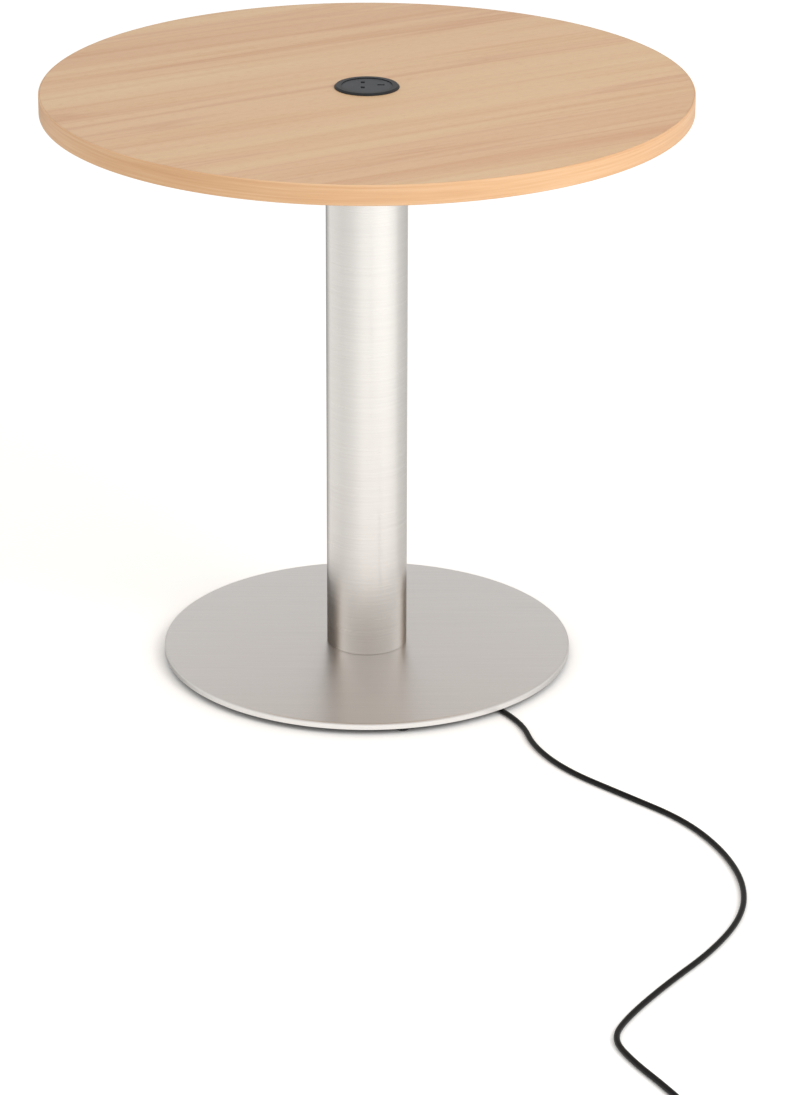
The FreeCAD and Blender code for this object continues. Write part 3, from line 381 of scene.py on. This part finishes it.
def beech_edge_material():
    """Beech-print ABS edging: warmer than the board, with fine streaks along the band, satin."""
    material, tree, shader = new_material("beech_abs_edging")
    streaks = drawn_out_noise(tree, (160, 160, 3), detail=4.0, roughness=0.6)
    colour = colour_ramp(tree, streaks, [(0.30, "#E0AE80"), (0.50, "#E8B98B"), (0.70, "#EFC59A")])
    tree.links.new(colour, shader.inputs["Base Color"])
    shader.inputs["Roughness"].default_value = 0.38
    shader.inputs["IOR"].default_value = 1.5
    return material


def brushed_tube_material():
    """Stainless tube brushed round its length on a belt: hair lines run round it, so reflections are
    drawn out up and down. The lines are drawn about a millimetre apart, coarser than real, to show."""
    material, tree, shader = new_material("brushed_stainless_tube")
    lines = drawn_out_noise(tree, (90, 90, 1.2), detail=2.0, roughness=0.7)
    colour = colour_ramp(tree, lines, [(0.30, "#EAE7E4"), (0.70, "#F2F0ED")])
    tree.links.new(colour, shader.inputs["Base Color"])
    rough = add_node(tree, "ShaderNodeMapRange", None,
                     {"From Min": 0.3, "From Max": 0.7, "To Min": 0.24, "To Max": 0.275}, {"Value": lines})
    tree.links.new(rough.outputs[0], shader.inputs["Roughness"])
    tangent = add_node(tree, "ShaderNodeTangent", {"direction_type": "RADIAL", "axis": "Z"})
    tree.links.new(tangent.outputs[0], shader.inputs["Tangent"])
    shader.inputs["Anisotropic"].default_value = 0.5
    shader.inputs["Anisotropic Rotation"].default_value = 0.25
    shader.inputs["Metallic"].default_value = 1.0
    return material


def brushed_sheet_material():
    """Stainless sheet brushed straight across from side to side before it was pressed: hair lines along X,
    drawn about a millimetre apart, coarser than real, to show. The turned-down rim is painted paler than
    the
    top: a painted highlight."""
    material, tree, shader = new_material("brushed_stainless_sheet")
    lines = drawn_out_noise(tree, (160, 0.9, 0.9), detail=3.0, roughness=0.7)
    brushed = colour_ramp(tree, lines, [(0.30, "#E8E7E6"), (0.70, "#F2F1F0")])
    surface = add_node(tree, "ShaderNodeNewGeometry")
    facing = add_node(tree, "ShaderNodeSeparateXYZ", None, None, {0: surface.outputs["Normal"]})
    # Painted highlight: faces that don't face up, such as the turned-down rim, get a paler colour than the
    # brushed top.
    rim = colour_ramp(tree, facing.outputs["Z"], [(0.2, "#FFFFFF"), (0.8, "#000000")])
    colour = add_node(tree, "ShaderNodeMix", {"data_type": "RGBA"}, {7: linear("#FDFCFA")},
                      {"Factor": rim, 6: brushed})
    tree.links.new(colour.outputs[2], shader.inputs["Base Color"])
    rough = add_node(tree, "ShaderNodeMapRange", None,
                     {"From Min": 0.3, "From Max": 0.7, "To Min": 0.39, "To Max": 0.43}, {"Value": lines})
    tree.links.new(rough.outputs[0], shader.inputs["Roughness"])
    across = add_node(tree, "ShaderNodeVectorMath", {"operation": "CROSS_PRODUCT"}, {1: (1.0, 0.0, 0.3)},
                      {0: surface.outputs["Normal"]})
    tree.links.new(across.outputs["Vector"], shader.inputs["Tangent"])
    shader.inputs["Anisotropic"].default_value = 0.55
    shader.inputs["Metallic"].default_value = 1.0
    return material


def moulded_material(name, colours, roughness, grit=0.6, bump_strength=0.12, ior=1.5, metallic=0.0):
    """Moulded or coated surface: a fine grain of a size in millimetres, such as spark erosion leaves in a
    mould, and a faint change of tone over the piece."""
    material, tree, shader = new_material(name)
    place = add_node(tree, "ShaderNodeTexCoord")
    grain = add_node(tree, "ShaderNodeTexNoise", {"noise_dimensions": "3D"},
                     {"Scale": 1 / (grit * MM), "Detail": 2.0}, {"Vector": place.outputs["Object"]})
    tone = add_node(tree, "ShaderNodeTexNoise", {"noise_dimensions": "3D"},
                    {"Scale": 1 / (25 * MM), "Detail": 2.0}, {"Vector": place.outputs["Object"]})
    colour = colour_ramp(tree, tone.outputs["Fac"], [(0.35, colours[0]), (0.65, colours[1])])
    tree.links.new(colour, shader.inputs["Base Color"])
    bump = add_node(tree, "ShaderNodeBump", None, {"Strength": bump_strength, "Distance": 0.1 * MM},
                    {"Height": grain.outputs["Fac"]})
    tree.links.new(bump.outputs[0], shader.inputs["Normal"])
    shader.inputs["Roughness"].default_value = roughness
    shader.inputs["IOR"].default_value = ior
    shader.inputs["Metallic"].default_value = metallic
    return material


def plain_metal_material(name, colours, roughness):
    """Plated or bare metal with a slightly uneven tone, at the shader's default IOR."""
    return moulded_material(name, colours, roughness, grit=1.5, bump_strength=0.05, metallic=1.0)


def make_materials():
    """One material for each slot of the record. A comment says what each plain finish gives the eye."""
    return {
        "beech_board": beech_board_material(),
        "beech_edge": beech_edge_material(),
        "brushed_column": brushed_tube_material(),
        "brushed_base": brushed_sheet_material(),
        # Powder-coated steel: an even satin black with a pebbled grain.
        "black_steel": moulded_material("black_powder_coat", ("#161616", "#1C1C1C"), 0.5,
                                        grit=0.9, bump_strength=0.25),
        # Bare rolled steel: a dull grey.
        "plain_steel": plain_metal_material("mill_steel", ("#8C8B89", "#A09F9C"), 0.4),
        # Zinc-plated steel: paler and a little blue.
        "zinc_steel": plain_metal_material("zinc_plated_steel", ("#B9BBBD", "#D0D2D3"), 0.28),
        # Hardened strip: bright and neutral.
        "spring_steel": plain_metal_material("spring_steel", ("#A8A8A6", "#C2C2C0"), 0.25),
        # Brass: yellow, with the sharpest highlights of the metals.
        "contact_brass": plain_metal_material("bright_brass", ("#C9A65A", "#DCBC74"), 0.22),
        # Moulded rubber: matt black.
        "black_rubber": moulded_material("black_rubber", ("#121212", "#1A1A1A"), 0.6),
        # Moulded nylon: satin black.
        "glide_nylon": moulded_material("black_nylon", ("#141414", "#1B1B1B"), 0.45),
        # Moulded polycarbonate: dark grey and satin, and on the face a lighter grey.
        "module_plastic": moulded_material("dark_grey_polycarbonate", ("#1D1E21", "#232528"), 0.46,
                                           ior=1.42),
        "face_plastic": moulded_material("dark_grey_face", ("#373A3E", "#3D4045"), 0.5, ior=1.42),
        # Moulded nylon: nearly black, so that the slots look deep.
        "shutter_plastic": moulded_material("black_nylon_shutter", ("#0F0F10", "#151516"), 0.5),
        # Extruded PVC: deep black with a soft shine and a faint orange peel.
        "lead_sheath": moulded_material("black_pvc_sheath", ("#060606", "#0A0A0A"), 0.45,
                                        grit=1.2, bump_strength=0.08, ior=1.33),
        # Woven strap with hooks and loops: matt black and fuzzy.
        "tie_fabric": moulded_material("black_hook_and_loop", ("#121212", "#1E1E1E"), 0.85,
                                       grit=0.5, bump_strength=0.6),
        # Moulded plug: black, with more shine than the other plastics.
        "plug_plastic": moulded_material("black_moulded_plug", ("#121212", "#181818"), 0.35),
    }


# Pieces
def node_box(name):
    """Lowest and highest corner of a CAD node in millimetres."""
    return [np.array(corner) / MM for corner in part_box(name)]


def make_pieces(materials):
    """Smooth turned pieces in the places of their CAD nodes: corners are (radius, level, rounding) in
    millimetres."""
    top_low, top_high = node_box("edge_band")
    board_radius = node_box("table_top")[1][0]
    top_radius, top_level, underside = top_high[0], top_high[2], top_low[2]
    dress(turned_piece("beech_board", [
        (MODULE_HOLE, underside, 0.3), (board_radius, underside, 0.3),
        (board_radius, top_level, 0.15), (MODULE_HOLE, top_level, 0.3)]),
        materials["beech_board"], "table_top")
    dress(turned_piece("edging", [
        (board_radius, underside, 0.15), (top_radius, underside, 1.5),
        (top_radius, top_level, 1.5), (board_radius, top_level, 0.15)]),
        materials["beech_edge"], "edge_band")
    tube_low, tube_high = node_box("column_tube")
    tube_radius, foot_level, head_level = tube_high[0], tube_low[2], tube_high[2]
    dress(turned_piece("column", [
        (tube_radius - TUBE_WALL, foot_level, 0.3), (tube_radius, foot_level, 0.8),
        (tube_radius, head_level, 0.4), (tube_radius - TUBE_WALL, head_level, 0.3)]),
        materials["brushed_column"], "column_tube")
    cover_low, cover_high = node_box("base_cover")
    rim_level, cover_level = cover_low[2], cover_high[2]
    inner_level, inner_radius = cover_level - BASE_SHEET, BASE_RADIUS - BASE_SHEET
    dress(turned_piece("base_pressing", [
        (CABLE_HOLE, inner_level, 0), (inner_radius, inner_level, 0.2),
        (inner_radius, rim_level, 0.2), (BASE_RADIUS, rim_level, 0.2),
        (BASE_RADIUS, cover_level, 2.5), (CABLE_HOLE, cover_level, 0.2)]),
        materials["brushed_base"], "base_cover")
    housing_low, housing_high = node_box("module_housing")
    skirt_level, flange_level = housing_low[2], housing_high[2]
    ledge_level = node_box("socket_face")[0][2]
    ledge_underside = ledge_level - LEDGE_THICKNESS
    dress(turned_piece("module_shell", [
        (SKIRT_BORE, skirt_level, 0.3), (SKIRT_RADIUS, skirt_level, 0.4), (SKIRT_RADIUS, top_level, 0.3),
        (FLANGE_RADIUS, top_level, 0.2), (FLANGE_RADIUS, top_level + FLANGE_EDGE, 0.5),
        (FLANGE_CROWN, flange_level, 0.7), (SKIRT_BORE, flange_level, 0.5),
        (SKIRT_BORE, ledge_level, 0.2), (LEDGE_BORE, ledge_level, 0.2),
        (LEDGE_BORE, ledge_underside, 0.2), (SKIRT_BORE, ledge_underside, 0.2)]),
        materials["module_plastic"], "module_housing")


def make_shutter_spring(material):
    """Leaf spring behind the socket's shutter: a strip along the line x = heel + bow cos(pi s / 2),
    y = middle + spread s, for s from -1 to 1, with a thin upright section set square to it. Its heels stay
    on the housing."""
    low, high = (np.array(corner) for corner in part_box("shutter_spring"))
    along = np.linspace(-1, 1, SPRING_STEPS)
    bow = high[0] - low[0] - SPRING_SHEET
    spread = (high[1] - low[1] - SPRING_SHEET) / 2
    line = np.column_stack([low[0] + SPRING_SHEET / 2 + bow * np.cos(np.pi * along / 2),
                            (low[1] + high[1]) / 2 + spread * along])
    heading = np.gradient(line, axis=0)
    square = np.column_stack([heading[:, 1], -heading[:, 0]]) / np.linalg.norm(heading, axis=1)[:, None]
    front = line + square * SPRING_SHEET / 2
    rear = line - square * SPRING_SHEET / 2
    corners = [(rear, low[2]), (front, low[2]), (front, high[2]), (rear, high[2])]
    grid = np.stack([np.column_stack([side, np.full(len(side), level)]) for side, level in corners], axis=1)
    index = np.arange(len(line) * 4).reshape(-1, 4)
    here, there = index[:-1], index[1:]
    sides = np.stack([here, np.roll(here, -1, axis=1), np.roll(there, -1, axis=1), there], axis=-1)
    quads = np.vstack([sides.reshape(-1, 4), index[[0, -1]]])
    spring = solid_from_grid("leaf_spring", grid.reshape(-1, 3), quads)
    dress(spring, material, "shutter_spring")
    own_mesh(spring)


def dress_nodes(materials):
    """Give every CAD node the material of its slot."""
    for part in frame["record"]["subparts"]:
        node = frame["nodes"][part["node"]]
        node.data.materials.clear()
        node.data.materials.append(materials[part["material_slot"]])


# Stage
def turn_ramp(tree, vector, stops):
    """Colour round the table by the direction seen from its axis: 0.5 is towards the camera's side, and
    0.25 and 0.75 are its left and its right. Stops are places and hex colours."""
    parts = add_node(tree, "ShaderNodeSeparateXYZ", None, None, {0: vector})
    back = add_node(tree, "ShaderNodeMath", {"operation": "MULTIPLY"}, {1: -1.0}, {0: parts.outputs["Y"]})
    angle = add_node(tree, "ShaderNodeMath", {"operation": "ARCTAN2"}, None,
                     {0: parts.outputs["X"], 1: back.outputs[0]})
    share = add_node(tree, "ShaderNodeMapRange", None, {"From Min": -math.pi, "From Max": math.pi},
                     {"Value": angle.outputs[0]})
    return colour_ramp(tree, share.outputs[0], stops)


def make_floor():
    """Pale floor: lit and shadowed as any surface, with a little light of its own for the camera and for
    reflections, so that it reads as white. Near the table, ambient occlusion dims that light for the
    camera:
    a painted contact shadow. In reflections its sides are toned down, a painted reflection of dark screens
    at both sides, and most of all close by the base, a painted shadow. From below it is clear, so that the
    underside of the table can be seen."""
    mesh = bpy.data.meshes.new("floor")
    mesh.from_pydata([(-FLOOR_HALF, -FLOOR_HALF, 0), (FLOOR_HALF, -FLOOR_HALF, 0),
                      (FLOOR_HALF, FLOOR_HALF, 0), (-FLOOR_HALF, FLOOR_HALF, 0)], [], [(0, 1, 2, 3)])
    floor = bpy.data.objects.new("floor", mesh)
    bpy.context.collection.objects.link(floor)
    material, tree = empty_material("white_studio_floor")
    path = add_node(tree, "ShaderNodeLightPath")
    place = add_node(tree, "ShaderNodeTexCoord")
    lit = add_node(tree, "ShaderNodeBsdfDiffuse", None, {"Color": linear("#F6F5F3")})
    # Painted contact shadow: ambient occlusion within CONTACT_REACH dims the floor's own light for the
    # camera near the base and the lead.
    painted_contact_shade = add_node(tree, "ShaderNodeAmbientOcclusion", None, {"Distance": CONTACT_REACH})
    seen = add_node(tree, "ShaderNodeMath", {"operation": "MULTIPLY"}, None,
                    {0: path.outputs["Is Camera Ray"], 1: painted_contact_shade.outputs["AO"]})
    seen = add_node(tree, "ShaderNodeMath", {"operation": "MULTIPLY"}, {1: FLOOR_LIFT},
                    {0: seen.outputs[0]})
    mirrored = add_node(tree, "ShaderNodeMath", {"operation": "MAXIMUM"}, None,
                        {0: path.outputs["Is Glossy Ray"], 1: path.outputs["Is Transmission Ray"]})
    mirrored = add_node(tree, "ShaderNodeMath", {"operation": "MULTIPLY"}, {1: MIRRORED_LIFT},
                        {0: mirrored.outputs[0]})
    lift = add_node(tree, "ShaderNodeMath", {"operation": "ADD"}, None,
                    {0: seen.outputs[0], 1: mirrored.outputs[0]})
    glow = add_node(tree, "ShaderNodeEmission", None, {"Color": (1, 1, 1, 1)},
                    {"Strength": lift.outputs[0]})
    white = add_node(tree, "ShaderNodeAddShader", None, None, {0: lit.outputs[0], 1: glow.outputs[0]})
    # Painted reflection and painted shadow: glossy rays see the floor's sides toned down, darkest within
    # TONE_RING of the axis beside the base.
    by_the_rim = turn_ramp(tree, place.outputs["Object"], [
        (0.0, "#F4F2F0"), (0.05, "#8A8278"), (0.10, "#A8A29A"), (0.31, "#AEAAA8"), (0.37, "#DEDBD8"),
        (0.47, "#F2F0EE"), (0.61, "#F1EFED"), (0.66, "#D0CCC8"), (0.70, "#AEAAA6"), (1.0, "#F4F2F0")])
    further_out = turn_ramp(tree, place.outputs["Object"], [
        (0.0, "#F4F2F0"), (0.05, "#8A8278"), (0.10, "#B4AEA6"), (0.15, "#EAE7E4"), (0.30, "#DAD6D2"),
        (0.38, "#E0DDDA"), (0.47, "#F2F0EE"), (0.66, "#F1EFED"), (0.73, "#E8E5E2"), (0.78, "#D0CAC4"),
        (0.92, "#BEB6AE"), (1.0, "#F4F2F0")])
    radius = add_node(tree, "ShaderNodeVectorMath", {"operation": "LENGTH"}, None,
                      {0: place.outputs["Object"]})
    away = add_node(tree, "ShaderNodeMapRange", None, {"From Min": TONE_RING[0], "From Max": TONE_RING[1]},
                    {"Value": radius.outputs["Value"]})
    tone = add_node(tree, "ShaderNodeMix", {"data_type": "RGBA"}, None,
                    {"Factor": away.outputs[0], 6: by_the_rim, 7: further_out})
    plain = add_node(tree, "ShaderNodeMath", {"operation": "SUBTRACT"}, {0: 1.0},
                     {1: path.outputs["Is Glossy Ray"]})
    share = add_node(tree, "ShaderNodeMath", {"operation": "MAXIMUM"}, None,
                     {0: tone.outputs[2], 1: plain.outputs[0]})
    dark = add_node(tree, "ShaderNodeEmission", None, {"Strength": 0.0})
    whole = add_node(tree, "ShaderNodeMixShader", None, None,
                     {0: share.outputs[0], 1: dark.outputs[0], 2: white.outputs[0]})
    side = add_node(tree, "ShaderNodeNewGeometry")
    clear = add_node(tree, "ShaderNodeBsdfTransparent")
    one_sided = add_node(tree, "ShaderNodeMixShader", None, None,
                         {0: side.outputs["Backfacing"], 1: whole.outputs[0], 2: clear.outputs[0]})
    add_node(tree, "ShaderNodeOutputMaterial", None, None, {"Surface": one_sided.outputs[0]})
    mesh.materials.append(material)


def make_world():
    """White for the camera, a soft even fill for diffuse light, and a pale studio for reflections in the
    steel. A reflection seen in another reflection meets the dark screens at the left and right rear."""
    world = bpy.data.worlds.new("studio")
    world.use_nodes = True
    tree = world.node_tree
    tree.nodes.clear()
    path = add_node(tree, "ShaderNodeLightPath")
    place = add_node(tree, "ShaderNodeTexCoord")
    seen = add_node(tree, "ShaderNodeBackground", None, {"Color": (1, 1, 1, 1), "Strength": 1.0})
    fill = add_node(tree, "ShaderNodeBackground", None,
                    {"Color": linear("#FBFAF8"), "Strength": FILL_STRENGTH})
    walls = turn_ramp(tree, place.outputs["Generated"], [
        (0.0, "#DEDDDC"), (0.05, "#D6D4D2"), (0.12, "#C2BEBA"), (0.25, "#E4E2DF"), (0.36, "#D6D2CE"),
        (0.5, "#CECAC6"), (0.7, "#D6D2CE"), (0.80, "#E8E5E2"), (0.90, "#C4BFBA"), (1.0, "#DEDDDC")])
    screens = turn_ramp(tree, place.outputs["Generated"], [
        (0.0, "#E8E6E4"), (0.012, "#D8D5D2"), (0.025, "#160C02"), (0.218, "#1A0E02"), (0.246, "#8E6C42"),
        (0.274, "#FFFBF6"), (0.36, "#D2CECA"), (0.5, "#C8C4C0"), (0.7, "#D2CECA"), (0.81, "#FAF8F5"),
        (0.838, "#AE8E66"), (0.868, "#3C2C1A"), (0.94, "#4A3A26"), (0.965, "#E4E2E0"), (1.0, "#E8E6E4")])
    deep = add_node(tree, "ShaderNodeMath", {"operation": "GREATER_THAN"}, {1: 1.5},
                    {0: path.outputs["Glossy Depth"]})
    mirrored = add_node(tree, "ShaderNodeMix", {"data_type": "RGBA"}, None,
                        {"Factor": deep.outputs[0], 6: walls, 7: screens})
    studio = add_node(tree, "ShaderNodeBackground", None, {"Strength": 1.0}, {"Color": mirrored.outputs[2]})
    first = add_node(tree, "ShaderNodeMixShader", None, None,
                     {0: path.outputs["Is Glossy Ray"], 1: fill.outputs[0], 2: studio.outputs[0]})
    second = add_node(tree, "ShaderNodeMixShader", None, None,
                      {0: path.outputs["Is Camera Ray"], 1: first.outputs[0], 2: seen.outputs[0]})
    add_node(tree, "ShaderNodeOutputWorld", None, None, {"Surface": second.outputs[0]})
    bpy.context.scene.world = world


def make_key_lamp():
    """Square softbox aimed at the table. The steel doesn't mirror it."""
    data = bpy.data.lights.new("key_softbox", "AREA")
    data.size = KEY_SIZE
    data.energy = KEY_POWER
    lamp = bpy.data.objects.new("key_softbox", data)
    lamp.location = KEY_PLACE
    direction = np.array(KEY_TARGET) - np.array(KEY_PLACE)
    tilt = math.atan2(math.hypot(direction[0], direction[1]), -direction[2])
    heading = math.atan2(direction[1], direction[0]) - math.pi / 2
    lamp.rotation_euler = (tilt, 0, heading)
    lamp.visible_glossy = False
    bpy.context.collection.objects.link(lamp)


bpy.context.scene.view_settings.view_transform = "Standard"
make_camera()
finishes = make_materials()
make_lead(finishes["lead_sheath"])
dress_nodes(finishes)
make_pieces(finishes)
make_shutter_spring(finishes["spring_steel"])
make_floor()
make_world()
make_key_lamp()
